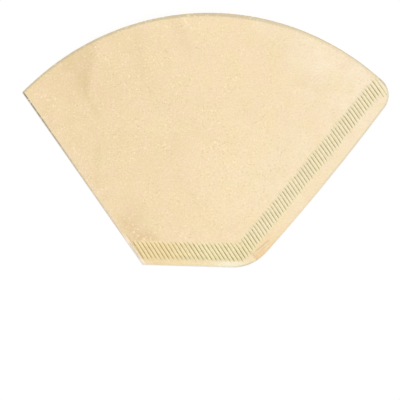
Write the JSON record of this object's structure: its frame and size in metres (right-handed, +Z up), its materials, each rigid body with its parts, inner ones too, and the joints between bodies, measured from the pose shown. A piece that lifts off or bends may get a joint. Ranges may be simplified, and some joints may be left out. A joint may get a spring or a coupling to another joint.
{
  "type": "paper coffee filter",
  "caption": "Flat-folded fan-shaped cone filter of unbleached paper, folded along one side, crimped along the other side and the base, and open along its curved mouth.",
  "frame": {"origin": "on the middle line of the filter, on the underside of the back ply, halfway between the base edge and the middle of the mouth", "axes": "+Z up out of the front ply, +Y from the base to the mouth along the middle line, +X from the fold to the crimped side"},
  "size_m": [0.1655, 0.1138, 0.0029],
  "materials": {
    "filter_paper": "matt unbleached crepe filter paper, warm cream, lightly mottled"
  },
  "bodies": {
    "root": {"coffee_filter": "filter_paper"}
  },
  "joints": []
}
